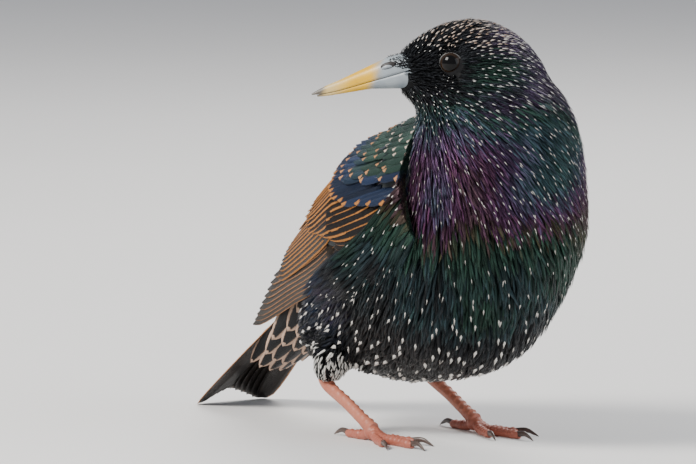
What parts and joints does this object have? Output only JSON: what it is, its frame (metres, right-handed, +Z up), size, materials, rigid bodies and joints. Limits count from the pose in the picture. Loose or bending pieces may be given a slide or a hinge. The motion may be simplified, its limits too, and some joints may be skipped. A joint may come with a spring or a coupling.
{
  "type": "starling",
  "caption": "Still life-size starling in spotted winter plumage, standing on flat feet with its head turned back over its right shoulder.",
  "frame": {"origin": "middle of the bounding box on the floor the bird stands on", "axes": "+X the way the body faces, +Y the bird's left, +Z up"},
  "size_m": [0.165, 0.0764, 0.1259],
  "materials": {
    "plumage": "glossy black feathers with a green and purple sheen and pale tips",
    "wing_feathers": "dark brown vanes with orange-buff edges",
    "bill_yellow": "smooth yellow horn with a darker tip",
    "bill_pale": "smooth horn, pale blue-grey at the base and yellow forward",
    "eye": "wet dark brown, nearly black",
    "leg_skin": "scaled pinkish red-brown skin",
    "claw": "dark horn"
  },
  "bodies": {
    "root": {"torso": "plumage", "neck": "plumage", "head": "plumage", "eye_left": "eye", "eye_right": "eye", "bill_upper": "bill_yellow", "bill_lower": "bill_pale", "wing_right": "wing_feathers", "wing_left": "wing_feathers", "tail": "wing_feathers", "undertail": "plumage", "thigh_left": "plumage", "shank_left": "leg_skin", "foot_left": "leg_skin", "claw_left_inner": "claw", "claw_left_middle": "claw", "claw_left_outer": "claw", "claw_left_hind": "claw", "thigh_right": "plumage", "shank_right": "leg_skin", "foot_right": "leg_skin", "claw_right_inner": "claw", "claw_right_middle": "claw", "claw_right_outer": "claw", "claw_right_hind": "claw"}
  },
  "joints": []
}
